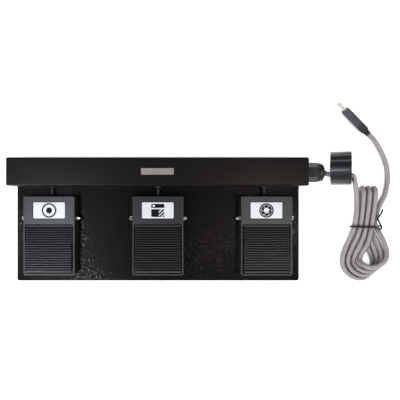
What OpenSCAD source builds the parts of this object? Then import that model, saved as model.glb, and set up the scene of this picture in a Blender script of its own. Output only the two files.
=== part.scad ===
// USB foot switch: three sprung pedals on a steel base with a wiring housing along the rear.
// Millimetres. Origin on the floor under the middle of the base, +X right, +Y rear, +Z up.

/* [Base] */
// Width of the base plate
base_w = 378; // [370:1:420]
// Depth of the base plate
base_d = 160.5; // [158:0.5:190]
// Thickness of the base plate
plate_t = 2; // [1.5:0.1:3]
// Radius of the base plate's front corners
plate_r = 2.6; // [2.4:0.1:6]
// Height of the rubber feet
foot_h = 3; // [2.8:0.1:6]
// Diameter of a rubber foot at the plate
foot_d = 16; // [12:1:20]
// Distance of the feet from the plate's edges
foot_inset = 22; // [18:1:30]

/* [Housing] */
// Depth of the housing
cover_d = 36; // [36:0.5:44]
// Height of the housing above the base plate
cover_h = 43; // [40:0.5:60]
// Thickness of the housing's sheet
sheet_t = 1.5; // [1:0.1:2]
// Outer radius of the housing's bends
bend_r = 2; // [1.6:0.1:3]
// Radius of the housing's upright corners
corner_r = 3.2; // [2.2:0.1:5]
// Gap between the housing's walls and the plate's edges
cover_fit = 0.1; // [0.05:0.05:0.3]
// Length of a fixing tab inside the housing
tab_l = 16; // [12:1:20]
// Width of a fixing tab
tab_w = 14; // [12:1:18]
// Diameter of the cover screws
cover_screw_d = 4; // [3:0.5:4]
// Width of the nameplate
nameplate_w = 41; // [30:1:60]
// Depth of the nameplate
nameplate_d = 8; // [6:0.5:14]
// Thickness of the nameplate
nameplate_t = 0.5; // [0.3:0.1:1]
// Width of the nameplate's raised rim
nameplate_rim = 0.6; // [0.3:0.1:1.2]

/* [Pedals] */
// Distance from an end of the base plate to the outer pedal
pedal_inset = 14.5; // [10:0.5:24]
// Width of a pedal
pedal_w = 67; // [64:0.5:72]
// Length of a pedal
pedal_l = 103.5; // [101:0.5:106]
// Height of a pedal's shell
pedal_h = 23; // [22.5:0.1:25]
// Thickness of the shell's walls
pedal_wall = 2.4; // [2:0.1:3]
// Length of the fixed deck at the rear
deck_l = 37; // [34:0.5:38]
// Thickness of the deck
deck_t = 2.5; // [1.5:0.1:3]
// Corner radius of the shell in plan
shell_r = 3; // [1:0.5:6]
// Radius of the shell's upper edges
edge_r = 1.5; // [0.5:0.1:2]
// Gap between a pedal and the housing
pedal_gap = 12.3; // [9:0.1:16]
// Thickness of the shell's floor
floor_t = 2; // [1.5:0.1:2.5]
// Gap between the floor and the shell's walls
floor_fit = 0.2; // [0.1:0.05:0.4]
// Width of the function label
label_w = 41; // [30:0.5:50]
// Length of the function label
label_l = 20.8; // [14:0.1:24]
// Thickness of the function label
label_t = 0.4; // [0.2:0.1:0.8]
// Distance from the shell's rear to the label's middle
label_back = 19.1; // [14:0.1:22]

/* [Treadle] */
// Angle that the treadle is pressed through
press_angle = 6; // [4:0.5:6]
// Gap at each side of the treadle
treadle_gap = 1.3; // [0.8:0.1:2]
// Thickness of the treadle's plate
treadle_t = 3; // [2.8:0.1:3.2]
// How far the pressed treadle lies below the shell's top
treadle_drop = 1; // [0.6:0.1:1.4]
// Pitch of the tread grooves
groove_pitch = 3; // [2.5:0.1:3]
// Number of tread grooves
groove_count = 19; // [10:1:19]
// Width of a groove at the top
groove_w = 1.9; // [0.8:0.1:2.2]
// Depth of a groove
groove_depth = 1.6; // [0.4:0.1:1.8]
// Thickness of the treadle's skirts
skirt_t = 2; // [1.6:0.1:2.4]
// Radius of the treadle's front nose
nose_r = 2.6; // [1:0.1:3]

/* [Pivot] */
// Distance from the shell's rear to the pivot
pivot_back = 29.4; // [28.5:0.1:30]
// Height of the pivot above the base plate
pivot_up = 9.7; // [9:0.1:10.5]
// Diameter of the pivot pin
pin_d = 4; // [3:0.1:4.5]
// Radial clearance of the pivot pin
pin_fit = 0.05; // [0.02:0.01:0.08]
// Diameter of the pin's head and cap
pin_head_d = 6.6; // [6:0.1:8]
// Height of the pin's head and cap
pin_head_h = 4.4; // [3:0.1:5]

/* [Switch] */
// Width of the microswitch
switch_w = 19.8; // [19:0.1:20.5]
// Thickness of the microswitch
switch_t = 6.4; // [6:0.1:6.8]
// Height of the microswitch
switch_h = 10.2; // [9.6:0.1:10.4]
// Distance between the microswitch's mounting holes
switch_hole_pitch = 9.5; // [9:0.1:10]
// Diameter of the plunger
plunger_d = 2.8; // [2:0.1:3.2]
// Distance from the pivot forward to the plunger
plunger_ahead = 14; // [13.5:0.1:14.5]
// Diameter of the return spring's wire
spring_wire_d = 1.2; // [0.8:0.1:1.4]
// Outer diameter of the return spring
spring_d = 12; // [10:0.5:13]
// Turns of the return spring
spring_turns = 7; // [5:1:8]

/* [Wiring] */
// Diameter of the pedals' cables
pedal_cable_d = 5; // [4:0.1:5.4]
// Diameter of the USB cord
cord_d = 6.6; // [5.6:0.1:6.6]
// Width of the cable gland across its flats
gland_af = 22; // [20:0.5:24]
// Diameter of the gland's thread
gland_thread_d = 16; // [14:0.5:17]
// Outer diameter of the ferrite core
ferrite_d = 43.6; // [40:0.1:45]
// Length of the ferrite core
ferrite_l = 26; // [20:0.5:27]
// Bore of the ferrite core
ferrite_bore = 27.5; // [26.5:0.1:29]
// Width of the encoder board
board_w = 92; // [80:1:100]
// Depth of the encoder board
board_d = 26; // [25:0.5:28]
// Thickness of the encoder board
board_t = 1.6; // [1:0.2:2]
// Height of the board's standoffs
standoff_h = 6; // [5:0.5:8]

/* [Plug] */
// Length of the plug's moulded body
plug_l = 38.5; // [28:0.5:40]
// Width of the plug's moulded body
plug_w = 16; // [14:0.5:18]
// Thickness of the plug's moulded body
plug_t = 10.4; // [8:0.1:11]
// Length of the plug's boot
boot_l = 7.2; // [6:0.1:16]
// Length of the plug's metal shell outside the body
usb_shell_l = 12; // [11:0.1:12.5]

/* [Hidden] */
$fn = 48;

// Places of the pedals and of the board between two of them; levels and edges of the base and the housing
pedal_pitch = base_w / 2 - pedal_inset - pedal_w / 2;
pedal_x = [-pedal_pitch, 0, pedal_pitch];
board_x = pedal_pitch / 2 - 0.5;
plate_top = foot_h + plate_t;
total_d = base_d + sheet_t + cover_fit;
front_y = -total_d / 2;
rear_y = total_d / 2;
plate_rear_y = front_y + base_d;
cover_w = base_w + 2 * (sheet_t + cover_fit);
cover_front_y = rear_y - cover_d;
cover_mid_y = rear_y - cover_d / 2;
cover_top = plate_top + cover_h;
tab_hole_r = cover_screw_d / 2 + 0.05;
tab_t = 2.5;
end_tab_x = cover_w / 2 - sheet_t - tab_l / 2;
rear_tab_x = board_x + board_w / 2 + tab_w / 2 + 5;
rear_tab_y = rear_y - sheet_t - tab_l / 2;
tab_spots = [
    for (s = [-1, 1]) [s * end_tab_x, cover_mid_y],
    for (s = [-1, 1]) [s * rear_tab_x, rear_tab_y]
];

// Places of the pedals' pieces
pedal_rear_y = cover_front_y - pedal_gap;
pedal_front_y = pedal_rear_y - pedal_l;
pedal_mid_y = pedal_rear_y - pedal_l / 2;
pedal_top = plate_top + pedal_h;
floor_top = plate_top + floor_t;
deck_front_y = pedal_rear_y - deck_l;
inner_w = pedal_w - 2 * pedal_wall;
inner_l = pedal_l - 2 * pedal_wall;
pivot_y = pedal_rear_y - pivot_back;
pivot_z = plate_top + pivot_up;
label_y = pedal_rear_y - label_back;
label_margin = 1;
label_sink = 0.4;
label_z = pedal_top - label_sink - label_t;
cable_z = plate_top + 5.5;
post_r = 3.2;
post_h = 6;
post_spots = [
    for (sx = [-1, 1], y = [pedal_front_y + pedal_wall + 5.4, pedal_rear_y - pedal_wall - 5.4])
    [sx * (inner_w / 2 - 2.4), y]
];
boss_spots = [for (sx = [-1, 1], y = [pedal_front_y + 41, pedal_rear_y - 12]) [sx * 19, y]];
small_screw_r = 1.2;
screw_fit = 0.05;

// Treadle, drawn level about the pivot: y forward is negative
treadle_w = inner_w - 2 * treadle_gap;
treadle_top = pedal_h - pivot_up - treadle_drop;
treadle_rear = -(pivot_y - deck_front_y) - treadle_top * sin(press_angle) - 0.9;
treadle_front = pedal_front_y + pedal_wall + 0.8 - pivot_y;
first_groove = treadle_rear - 4;
front_drop = 7;
groove_foot = 0.3;
treadle_under = treadle_top - treadle_t;
ear_r = 5.3;

// Microswitch and spring
plunger_y = pivot_y - plunger_ahead;
under_at_plunger = pivot_z + (plunger_ahead * sin(press_angle) + treadle_under) / cos(press_angle);
plunger_gap = 0.4;
plunger_top = under_at_plunger - plunger_gap;
plunger_out = 2.4;
switch_top = plunger_top - plunger_out;
switch_x = -2.4;
switch_hole_z = switch_top - switch_h + 2.9;
bracket_t = 2.5;
wire_notch_h = 5.2;
spring_ahead = 48.8;
spring_y = pivot_y - spring_ahead;
spring_rear_ahead = spring_ahead - spring_d / 2;
under_at_spring = pivot_z + (spring_rear_ahead * sin(press_angle) + treadle_under) / cos(press_angle);
spring_top = under_at_spring - 0.35;
spring_r = (spring_d - spring_wire_d) / 2;

// Board and wiring inside the housing
board_z = plate_top + standoff_h;
board_top = board_z + board_t;
board_left = board_x - board_w / 2;
board_right = board_x + board_w / 2;
board_hole_x = board_w / 2 - 16;
board_hole_y = board_d / 2 - 3.2;
standoff_af = 5.5;
standoff_tap = 5;
spigot_r = 2.5;
chip_w = 12;
chip_d = 8;
chip_h = 2;
block_h = 10;
block_l = 8.5;
left_block_d = 22;
right_block_d = 11;
header_l = 10;
header_d = 9;
header_y = cover_mid_y + 7.5;
wire_z = board_top + 4.4;

// Gland, on the housing's right wall
gland_y = cover_mid_y;
gland_z = plate_top + 19;
gland_wall_x = cover_w / 2;
gland_in = 12.5;
gland_hex = 8.8;
gland_nut_hex = 7;
gland_dome = 8.5;
gland_dome_r = gland_af / 2 + 1.2;
gland_dome_in = 4.6;
gland_nut_gap = 0.3;
gland_spigot_r = 8.4;
gland_spigot = 5.6;
seal_r = 7.2;
seal_tip_r = 6.2;
seal_l = 6;
locknut_h = 5;
seal_fit = 0.3;
gland_end_x = gland_wall_x + gland_hex + gland_nut_gap + gland_nut_hex + gland_dome;
cord_r = cord_d / 2;
gland_bore_r = cord_r + 0.25;

plug_place = [281, 115];
plug_turn = 134.3;
plug_lean = 20;
plug_edge_r = 2;
plug_z = plug_edge_r + (plug_w / 2 - plug_edge_r) * cos(plug_lean)
    + (plug_t / 2 - plug_edge_r) * sin(plug_lean);
// Route of the USB cord outside the housing, from the gland's inner end to the hank and on to the plug
lead_points = [
    [gland_wall_x - gland_in, gland_y, gland_z], [gland_end_x, gland_y, gland_z], [218.6, 61.8, 23.7],
    [222.5, 60.7, 23.4], [227, 60.4, 23.6], [239, 60.2, 25.2], [251.6, 59.4, 26.8], [255.6, 55, 25.2],
    [258.2, 48, 22.4], [260.2, 40.4, 19.8], [261.6, 32, 17.6], [262.4, 24, 16.4]
];
tail_points = [
    [291.8, 3, 4.4], [294, 9, cord_r], [296.8, 16.6, cord_r], [300.5, 24.2, cord_r], [303.4, 29.6, cord_r],
    [305.6, 34.7, cord_r], [307.9, 45.1, cord_r], [309, 54, cord_r], [308.6, 65, cord_r], [306.7, 75.6, 3.4],
    [302.6, 86.4, 3.8], [296.6, 97, 5.3], [290.5, 105.2, 7.4],
    for (back = [7, 0]) concat(plug_place - back * [cos(plug_turn), sin(plug_turn)], plug_z)
];

// Hank: four loops along one base line, each shifted against the one before, station by station
hank_loops = 4;
tie_wire_d = 2.3;
tie_lift = tie_wire_d + 0.3;
hank_base = [
    [262.5, 34], [262.4, 12], [260.6, -8], [257.8, -21], [253.6, -33.5], [249.6, -45], [248, -54],
    [249, -62], [253.4, -69.5], [261.4, -75.6], [271.4, -78.4], [280.8, -75.6], [286.8, -68.6],
    [289.2, -60], [288.2, -50.5], [284.6, -40.5], [279, -30], [271.5, -17], [268.4, -7], [270.2, 12],
    [272.6, 34]
];
hank_shift = [
    [7.9, 0], [7.5, 0], [7.4, 0], [7.6, 0.3], [7.95, 0.6], [7.9, 0.9], [7.55, 1.4], [6.9, 2.9], [5.6, 4.6],
    [3.3, 5.7], [1.6, 5.8], [1.7, 5.3], [2.4, 4.9], [3.1, 4.1], [4, 3.3], [4.8, 3], [5.7, 2.8], [6.6, 2.8],
    [7.3, 1.3], [7.5, 0], [7.9, 0]
];
// How far each loop's stations lie above the floor, beyond the cord's own radius
hank_rise = [
    [15.5, 12.2, 9.9, 4.7, 0.7, 0, 0, 0, 0, 0, 0, 0, 0, 0, 0, 0, 0, 1.7, tie_lift, 0, 0],
    [15.5, 12.2, 9.9, 7.7, 3.2, 0.6, 0.2, 0.3, 1.5, 3.4, 5.3, 6.8, 7.4, 6.8, 5.7, 4.7, 3.7, 2.6, tie_lift,
     0, 0],
    [15.5, 12.2, 9.9, 9.7, 6.4, 2, 0.9, 1.3, 3.3, 6.9, 10.7, 13.7, 14.7, 13.5, 11.3, 9.3, 7.2, 3, tie_lift,
     0, 0],
    [15.5, 12.2, 9.9, 10.3, 9.2, 4.8, 3, 4.2, 7.2, 12, 17, 20.8, 22.1, 20.1, 17, 14, 10.7, 5, tie_lift]
];
hank_fold_r = 5.4;
hank_fold_y = [41, 43.2];

function ease(a, b, x) = let (t = min(1, max(0, (x - a) / (b - a)))) t * t * (3 - 2 * t);
function curve_at(p, u) =
    let (i = min(len(p) - 2, max(0, floor(u))), t = u - i, b = p[i], c = p[i + 1],
         a = i > 0 ? p[i - 1] : 2 * b - c, d = i < len(p) - 2 ? p[i + 2] : 2 * c - b)
    (2 * b + (c - a) * t + (2 * a - 5 * b + 4 * c - d) * t * t + (3 * b - a - 3 * c + d) * t * t * t) / 2;
function unit(v) = v / norm(v);
function hank_point(n, i) = concat(hank_base[i] + n * hank_shift[i], cord_r + hank_rise[n][i]);
function hank_fold(n) =
    let (low = hank_point(n, 20), high = hank_point(n + 1, 0), z = (low[2] + high[2]) / 2,
         step = (high[0] - low[0]) / 6)
    [[low[0] + step, hank_fold_y[0], z - hank_fold_r], [low[0] + 3 * step, hank_fold_y[1], z],
     [low[0] + 5 * step, hank_fold_y[0], z + hank_fold_r]];
hank_points = [
    for (n = [0:hank_loops - 1]) each concat(
        [for (i = [n > 0 ? 0 : 1:len(hank_rise[n]) - 1]) hank_point(n, i)],
        n < hank_loops - 1 ? hank_fold(n) : [])
];
cord_points = concat(lead_points, hank_points, tail_points);
hank_from = len(lead_points);
hank_to = hank_from + len(hank_points) - 1;

// Least gap of the hank to itself, on points four to a ring
hank_fine = [for (u = [0:0.25:len(hank_points) - 1]) curve_at(hank_points, u)];
hank_near = 14;
hank_gap = min([
    for (i = [0:len(hank_fine) - 1 - hank_near], j = [i + hank_near:len(hank_fine) - 1])
    norm(hank_fine[i] - hank_fine[j])
]) - cord_d;
echo("least gap of the hank to itself", hank_gap);

// Twist tie round the hank's waist, with one free end
tie_points = [
    [296.8, -7.6, 8.8], [296.6, -8, 3.6], [294.4, -8, tie_wire_d / 2], [266.5, -8, tie_wire_d / 2],
    [264.4, -8, 2.6], [258.4, -8, 7.6], [255.4, -8, 11.4], [255.7, -8, 15.6], [259, -8, 18], [283.5, -8.6, 18],
    [288, -9.2, 16.2], [294, -11.4, 15], [296.4, -8.4, 13], [293.6, -0.5, 11], [293.2, 3, 10],
    [297.7, 9, 9], [300.8, 14.5, 8]
];

// A tube along points, square at both ends
function tangents(p) = [
    for (i = [0:len(p) - 1]) unit(p[min(i + 1, len(p) - 1)] - p[max(i - 1, 0)])
];
function side_of(v) = unit(cross(v, abs(v[0]) < 0.7 ? [1, 0, 0] : [0, 0, 1]));
function sides_of(t) = [
    for (i = 0, n = side_of(t[0]); i < len(t); i = i + 1,
         n = i < len(t) ? unit(n - (n * t[i]) * t[i]) : n) n
];
module tube(p, r, sides, first = 0, last = undef) {
    end = is_undef(last) ? len(p) - 1 : last;
    t = tangents(p);
    n = sides_of(t);
    rings = end - first + 1;
    polyhedron(
        points = [
            for (i = [first:end], k = [0:sides - 1]) let (a = 360 * k / sides)
            p[i] + r * (cos(a) * n[i] + sin(a) * cross(t[i], n[i]))
        ],
        faces = [
            for (i = [0:rings - 2], k = [0:sides - 1])
            let (a = i * sides + k, b = i * sides + (k + 1) % sides)
            each [[a, a + sides, b], [b, a + sides, b + sides]],
            for (k = [1:sides - 2]) [0, k, k + 1],
            for (k = [1:sides - 2]) let (e = (rings - 1) * sides) [e, e + k + 1, e + k]
        ],
        convexity = 10
    );
}

// Outlines
module rounded(w, d, r) {
    square([w - 2 * r, d], center = true);
    square([w, d - 2 * r], center = true);
    for (x = [-1, 1], y = [-1, 1]) translate([x * (w / 2 - r), y * (d / 2 - r)]) circle(r);
}
module arched(w, h, r) {
    translate([-w / 2, 0]) square([w, h - r]);
    translate([r - w / 2, 0]) square([w - 2 * r, h]);
    for (x = [-1, 1]) translate([x * (w / 2 - r), h - r]) circle(r);
}
// A block with rounded corners and rounded upper edges, standing on z = 0
module moulded(w, d, h, corner, edge) {
    intersection() {
        linear_extrude(h) rounded(w, d, corner);
        rotate([90, 0, 0]) linear_extrude(d + 2, center = true) arched(w, h, edge);
        rotate([90, 0, 90]) linear_extrude(w + 2, center = true) arched(d, h, edge);
    }
}
module along_x(length) { rotate([90, 0, 90]) linear_extrude(length, center = true) children(); }
module pan_screw(shank_r, length, head_r, head_h) {
    translate([0, 0, -length]) cylinder(r = shank_r, h = length);
    difference() {
        union() {
            cylinder(r = head_r, h = head_h * 0.55);
            translate([0, 0, head_h * 0.55]) cylinder(r1 = head_r, r2 = head_r * 0.6, h = head_h * 0.45);
        }
        for (a = [0, 90]) rotate(a) translate([0, 0, head_h])
            cube([head_r * 1.1, head_r * 0.28, head_h], center = true);
    }
}
module hexagon(flats) { circle(d = flats / cos(30), $fn = 6); }
module at_pedals() { for (x = pedal_x) translate([x, 0, 0]) children(); }

// Base plate of steel sheet with the holes for everything that is screwed to it
module base_plate() {
    color([0.16, 0.15, 0.15]) difference() {
        translate([0, front_y + base_d / 2, foot_h]) linear_extrude(plate_t) rounded(base_w, base_d, plate_r);
        for (p = tab_spots) translate([p[0], p[1], foot_h - 1])
            cylinder(r = tab_hole_r + 0.2, h = plate_t + 2);
        at_pedals() for (p = boss_spots)
            translate([p[0], p[1], foot_h - 1]) cylinder(r = small_screw_r + 0.3, h = plate_t + 2);
        at_standoffs() translate([0, 0, foot_h - 1]) cylinder(r = spigot_r + screw_fit, h = plate_t + 2);
    }
}
// Rubber feet, tapered, stuck under the plate
module rubber_feet() {
    spots = [
        for (x = [-1, 1], y = [-1, 1]) [x * (base_w / 2 - 2 * foot_inset), y * (base_d / 2 - foot_inset)],
        for (y = [-1, 1]) [0, y * (base_d / 2 - foot_inset)]
    ];
    color([0.07, 0.07, 0.07]) for (p = spots) translate([p[0], p[1], 0]) difference() {
        cylinder(d1 = foot_d - 2, d2 = foot_d, h = foot_h);
        translate([0, 0, -0.1]) cylinder(d1 = foot_d / 2, d2 = foot_d / 2 - 2, h = 0.9);
    }
}
// Folded housing: front wall on the plate, rear and end walls over the plate's edges, tabs with tapped holes
module housing_cover() {
    wall_foot = foot_h;
    full_h = cover_top - wall_foot;
    inner_w_c = cover_w - 2 * sheet_t;
    inner_d_c = cover_d - 2 * sheet_t;
    inner_bend_r = bend_r - sheet_t + 0.4;
    inner_corner_r = corner_r - sheet_t + 0.4;
    color([0.17, 0.16, 0.165]) difference() {
        union() {
            difference() {
                translate([0, cover_mid_y, wall_foot]) moulded(cover_w, cover_d, full_h, corner_r, bend_r);
                translate([0, cover_mid_y, wall_foot - 1])
                    moulded(inner_w_c, inner_d_c, full_h + 1 - sheet_t, inner_corner_r, inner_bend_r);
                translate([-inner_w_c / 2, cover_front_y - 1, wall_foot - 1])
                    cube([inner_w_c, sheet_t + inner_corner_r + 2, plate_t + 1]);
            }
            for (p = tab_spots) translate([p[0], p[1], plate_top])
                rotate(abs(p[0]) > rear_tab_x + 1 ? 0 : 90)
                linear_extrude(tab_t) square([tab_l, tab_w], center = true);
        }
        for (p = tab_spots) translate([p[0], p[1], plate_top - 1]) cylinder(r = tab_hole_r, h = tab_t + 2);
        at_pedals() translate([0, cover_front_y + sheet_t / 2, cable_z]) rotate([90, 0, 0])
            cylinder(r = grommet_neck_r + screw_fit, h = sheet_t + 4, center = true);
        translate([gland_wall_x, gland_y, gland_z]) rotate([0, 90, 0])
            cylinder(d = gland_thread_d + 0.3, h = sheet_t + 4, center = true);
    }
}
module cover_screws() {
    color([0.2, 0.2, 0.21]) for (p = tab_spots) translate([p[0], p[1], foot_h]) mirror([0, 0, 1])
        pan_screw(cover_screw_d / 2, plate_t + tab_t + 1, cover_screw_d * 0.9, 2.4);
}
// Bare metal plate on the housing's top
module nameplate() {
    color([0.78, 0.74, 0.66]) translate([0, cover_mid_y, cover_top]) difference() {
        linear_extrude(nameplate_t) rounded(nameplate_w, nameplate_d, 0.6);
        translate([0, 0, nameplate_t / 2]) linear_extrude(nameplate_t)
            rounded(nameplate_w - 2 * nameplate_rim, nameplate_d - 2 * nameplate_rim, 0.4);
    }
}

// Board with what is soldered to it
module at_standoffs() {
    for (x = [-1, 1], y = [-1, 1]) translate([board_x + x * board_hole_x, cover_mid_y + y * board_hole_y, 0])
        children();
}
module encoder_board() {
    color([0.05, 0.3, 0.16]) difference() {
        translate([board_x, cover_mid_y, board_z]) linear_extrude(board_t) rounded(board_w, board_d, 1.5);
        at_standoffs() translate([0, 0, board_z - 1]) cylinder(r = 1.6, h = board_t + 2);
    }
}
module board_standoffs() {
    color([0.75, 0.72, 0.6]) at_standoffs() difference() {
        union() {
            translate([0, 0, plate_top]) linear_extrude(standoff_h) hexagon(standoff_af);
            translate([0, 0, foot_h]) cylinder(r = spigot_r, h = plate_t + 0.5);
        }
        translate([0, 0, board_z - standoff_tap]) cylinder(r = 1.5 + screw_fit, h = standoff_tap + 1);
    }
}
module board_screws() {
    color([0.72, 0.72, 0.74]) at_standoffs() translate([0, 0, board_top])
        pan_screw(1.5, board_t + standoff_tap - 1.5, 2.8, 1.8);
}
module controller_chip() {
    lead_pitch = 1.27;
    translate([board_x, cover_mid_y, board_top]) {
        color([0.08, 0.08, 0.09]) translate([0, 0, 0.4]) linear_extrude(chip_h) rounded(chip_w, chip_d, 0.4);
        color([0.75, 0.75, 0.77]) for (i = [-3.5:3.5], s = [-1, 1])
            translate([i * lead_pitch - 0.25, s * (chip_d / 2 + 0.25) - 0.75, 0]) cube([0.5, 1.5, 0.6]);
    }
}
module terminal_block(x, y, depth, ways, face) {
    translate([x, y, board_top]) difference() {
        translate([-block_l / 2, -depth / 2, 0]) cube([block_l, depth, block_h]);
        for (i = [0:ways - 1]) translate([-face * 0.8, (i - (ways - 1) / 2) * depth / ways, block_h - 2])
            cylinder(r = 1.9, h = 3);
        translate([face * block_l / 2, 0, block_h]) rotate([0, 45, 0])
            cube([2.4, depth + 2, 2.4], center = true);
    }
}
module terminal_blocks() {
    color([0.1, 0.36, 0.2]) {
        terminal_block(board_left + 0.5 + block_l / 2, cover_mid_y, left_block_d, 4, -1);
        terminal_block(board_right - 0.5 - block_l / 2, cover_mid_y - 5.5, right_block_d, 2, 1);
    }
}
module usb_header() {
    color([0.9, 0.88, 0.82]) translate([board_right - 1 - header_l, header_y - header_d / 2, board_top])
        difference() {
            cube([header_l, header_d, 7.4]);
            translate([1, 1.2, 5.4]) cube([header_l - 4.6, header_d - 2.4, 3]);
        }
}

// Rubber bushes where the pedals' cables pass a wall, turned about the cable
grommet_neck_r = 4.1;
grommet_flange_r = 5.2;
module bush(wall) {
    flange = 1.6;
    rotate([90, 0, 0]) rotate_extrude() translate([pedal_cable_d / 2 + screw_fit, 0]) {
        wide = grommet_flange_r - pedal_cable_d / 2 - screw_fit;
        neck = grommet_neck_r - pedal_cable_d / 2 - screw_fit;
        translate([0, -wall / 2]) square([neck, wall]);
        translate([0, wall / 2]) square([wide, flange]);
        translate([0, wall / 2 + flange]) polygon([[0, 0], [wide - 0.6, 0], [0.7, 1.2], [0, 1.2]]);
        translate([0, -wall / 2 - flange]) square([wide, flange]);
    }
}
module cable_grommets() {
    color([0.1, 0.1, 0.1]) at_pedals() translate([0, cover_front_y + sheet_t / 2, cable_z]) bush(sheet_t);
}
module cable_bushes() {
    color([0.1, 0.1, 0.1]) at_pedals() translate([0, pedal_rear_y - pedal_wall / 2, cable_z]) mirror([0, 1, 0])
        bush(pedal_wall);
}

// Moulded shell of a foot switch: walls all round, a deck over the rear with a pocket for the label
module shell(x) {
    color([0.24, 0.24, 0.25]) translate([x, 0, 0]) difference() {
        union() {
            difference() {
                translate([0, pedal_mid_y, plate_top]) moulded(pedal_w, pedal_l, pedal_h, shell_r, edge_r);
                translate([-inner_w / 2, pedal_front_y + pedal_wall, plate_top - 1])
                    cube([inner_w, inner_l, pedal_h + 1 - deck_t]);
                translate([0, (deck_front_y + pedal_front_y + pedal_wall) / 2, plate_top])
                    linear_extrude(pedal_h + 1) rounded(inner_w, deck_front_y - pedal_front_y - pedal_wall, 2);
            }
            for (p = post_spots) translate([p[0], p[1], floor_top]) {
                cylinder(r = post_r, h = post_h);
                translate([p[0] > 0 ? 0 : -3, -1, 0]) cube([3, 2, post_h]);
            }
        }
        for (p = post_spots) translate([p[0], p[1], floor_top - 1])
            cylinder(r = small_screw_r + screw_fit, h = post_h);
        translate([0, pivot_y, pivot_z]) rotate([0, 90, 0])
            cylinder(r = pin_d / 2 + pin_fit, h = pedal_w + 4, center = true);
        translate([0, pedal_rear_y, cable_z]) rotate([90, 0, 0])
            cylinder(r = grommet_neck_r + screw_fit, h = 3 * pedal_wall, center = true);
        translate([0, label_y, label_z]) linear_extrude(label_t + label_sink + 1)
            rounded(label_w + 2 * label_margin, label_l + 2 * label_margin, 1.8);
    }
}
// Floor of a foot switch: spring cup, switch bracket, cable guide and screw bosses
module switch_floor(x) {
    cup_r = spring_d / 2 + 0.3;
    bracket_y = plunger_y + switch_t / 2;
    bracket_x = switch_x - switch_w / 2;
    color([0.2, 0.2, 0.21]) translate([x, 0, 0]) difference() {
        union() {
            translate([0, pedal_mid_y, plate_top]) linear_extrude(floor_t)
                square([inner_w - 2 * floor_fit, inner_l - 2 * floor_fit], center = true);
            translate([0, spring_y, floor_top - 0.5]) cylinder(r = cup_r + 1.4, h = 3);
            translate([bracket_x, bracket_y, floor_top - 0.5])
                cube([switch_w, bracket_t, switch_top - 1.2 - floor_top + 0.5]);
            for (s = [0, 1]) translate([bracket_x + s * (switch_w - 2), bracket_y, floor_top - 0.5])
                along_y_gusset(bracket_t, switch_top - 6 - floor_top);
            translate([-5, pedal_rear_y - 17, floor_top - 0.5]) cube([10, 5, cable_z + 3.8 - floor_top + 0.5]);
            for (p = boss_spots) translate([p[0], p[1], floor_top - 0.5]) cylinder(r = 3.4, h = 5);
        }
        translate([0, spring_y, floor_top]) cylinder(r = cup_r, h = 6);
        for (s = [-1, 1]) translate([switch_x + s * switch_hole_pitch / 2, bracket_y, switch_hole_z])
            rotate([90, 0, 0]) cylinder(r = small_screw_r + screw_fit, h = 4 * bracket_t, center = true);
        translate([switch_x - 7, bracket_y - 1, floor_top]) cube([14, bracket_t + 2, wire_notch_h]);
        translate([0, pedal_rear_y - 14, cable_z]) rotate([90, 0, 0])
            cylinder(r = pedal_cable_d / 2 + screw_fit, h = 20, center = true);
        translate([0, pedal_rear_y - pedal_wall, cable_z]) rotate([90, 0, 0])
            cylinder(r = grommet_flange_r + 0.3, h = 8, center = true);
        for (p = boss_spots) translate([p[0], p[1], plate_top - 1])
            cylinder(r = small_screw_r + screw_fit, h = floor_t + 5);
        for (p = post_spots) translate([p[0], p[1], plate_top]) {
            translate([0, 0, -1]) cylinder(r = small_screw_r + 0.2, h = floor_t + 2);
            cylinder(r1 = countersunk_r, r2 = small_screw_r, h = countersunk_r - small_screw_r);
        }
    }
}
countersunk_r = 2.6;
module along_y_gusset(depth, height) {
    reach = 5;
    rotate([90, 0, 90]) linear_extrude(2) polygon([[0, 0], [depth + reach, 0], [depth, height], [0, height]]);
}
module floor_screws() {
    color([0.6, 0.6, 0.62]) at_pedals() for (p = post_spots) translate([p[0], p[1], plate_top + 0.05]) {
        cylinder(r1 = countersunk_r - 0.1, r2 = small_screw_r, h = countersunk_r - 0.1 - small_screw_r);
        cylinder(r = small_screw_r, h = floor_t + post_h - 2);
    }
}
module pedal_screws() {
    color([0.6, 0.6, 0.62]) at_pedals() for (p = boss_spots) translate([p[0], p[1], foot_h]) mirror([0, 0, 1])
        pan_screw(small_screw_r, plate_t + floor_t + 3, 2.6, 1.8);
}

// Treadle: ribbed plate with a rolled nose, side skirts that end in pivot ears, and stiffening ribs
module treadle_section() {
    difference() {
        union() {
            translate([treadle_front + nose_r, treadle_under])
                square([treadle_rear - treadle_front - nose_r, treadle_t]);
            translate([treadle_front + nose_r, treadle_top - nose_r]) circle(nose_r);
            translate([treadle_front, treadle_top - front_drop]) square([skirt_t, front_drop - nose_r]);
        }
        for (i = [0:groove_count - 1]) translate([first_groove - i * groove_pitch, treadle_top]) polygon([
            [-groove_foot / 2, -groove_depth], [groove_foot / 2, -groove_depth],
            [groove_w / 2, 0], [groove_w / 2, 1], [-groove_w / 2, 1], [-groove_w / 2, 0]
        ]);
    }
}
module treadle_side() {
    polygon([
        [treadle_rear, treadle_top - groove_depth], [treadle_front + nose_r, treadle_top - groove_depth],
        [treadle_front, treadle_top - nose_r], [treadle_front, treadle_top - front_drop],
        [-4, -4], [3.5, 3.5], [treadle_rear, treadle_under - 2.8]
    ]);
    circle(ear_r);
}
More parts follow.
